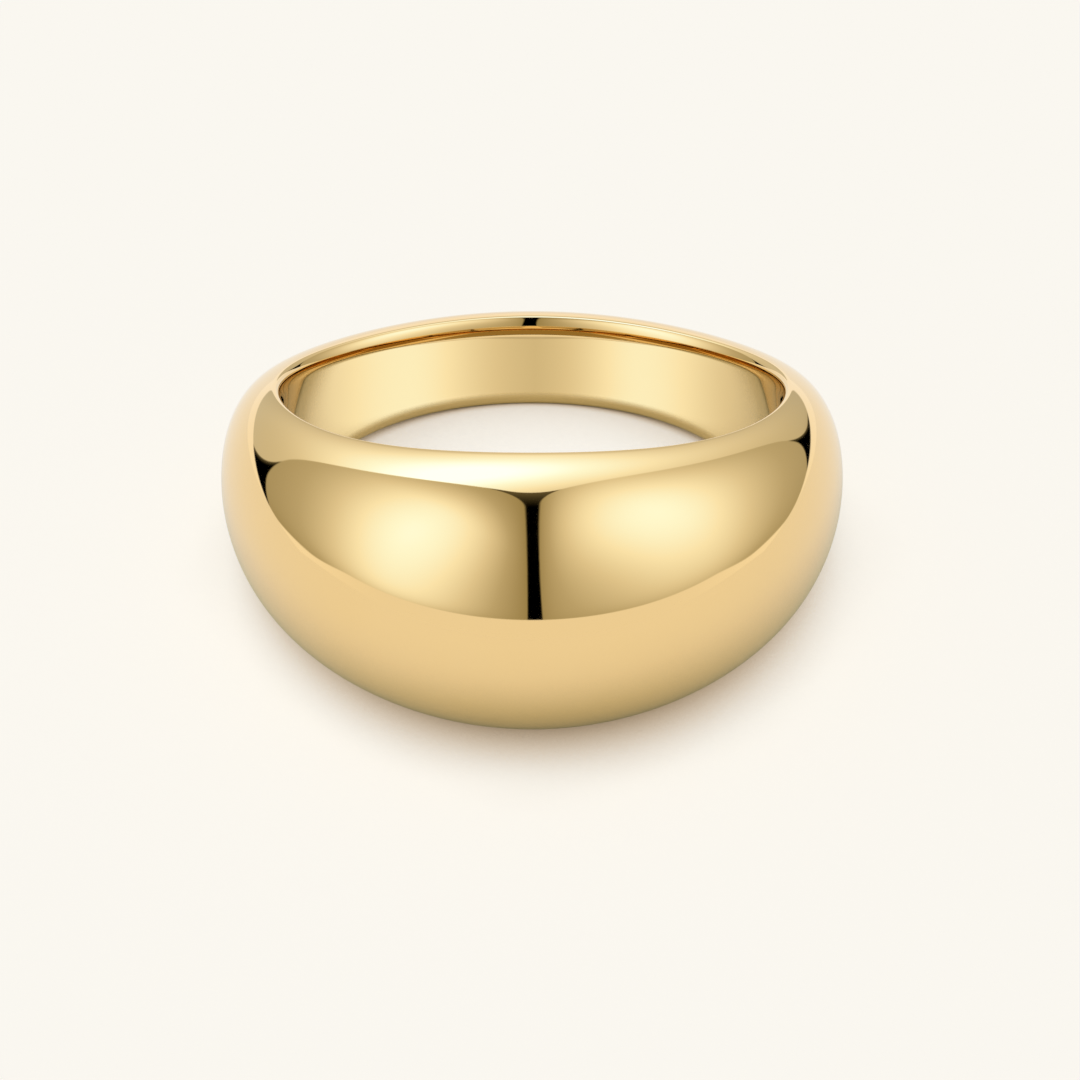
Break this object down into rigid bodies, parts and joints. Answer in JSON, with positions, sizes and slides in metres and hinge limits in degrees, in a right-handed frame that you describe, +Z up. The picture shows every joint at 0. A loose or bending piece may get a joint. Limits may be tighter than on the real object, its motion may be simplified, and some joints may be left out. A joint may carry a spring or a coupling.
{
  "type": "dome ring",
  "caption": "Plain polished finger ring: a half-round band that swells from a slim back to a wide, high dome, lying on its side with the finger hole up.",
  "frame": {"origin": "on the surface that the ring lies on, under the centre of the ring's box", "axes": "+Z up from the surface, -Y towards the crown of the dome, +X to the side; the finger hole's axis leans back from +Z towards +Y by the ring's resting tilt of 10.7 degrees"},
  "size_m": [0.0216, 0.0242, 0.01],
  "materials": {
    "polished_gold": "mirror polished yellow gold"
  },
  "bodies": {
    "root": {"ring": "polished_gold"}
  },
  "joints": []
}
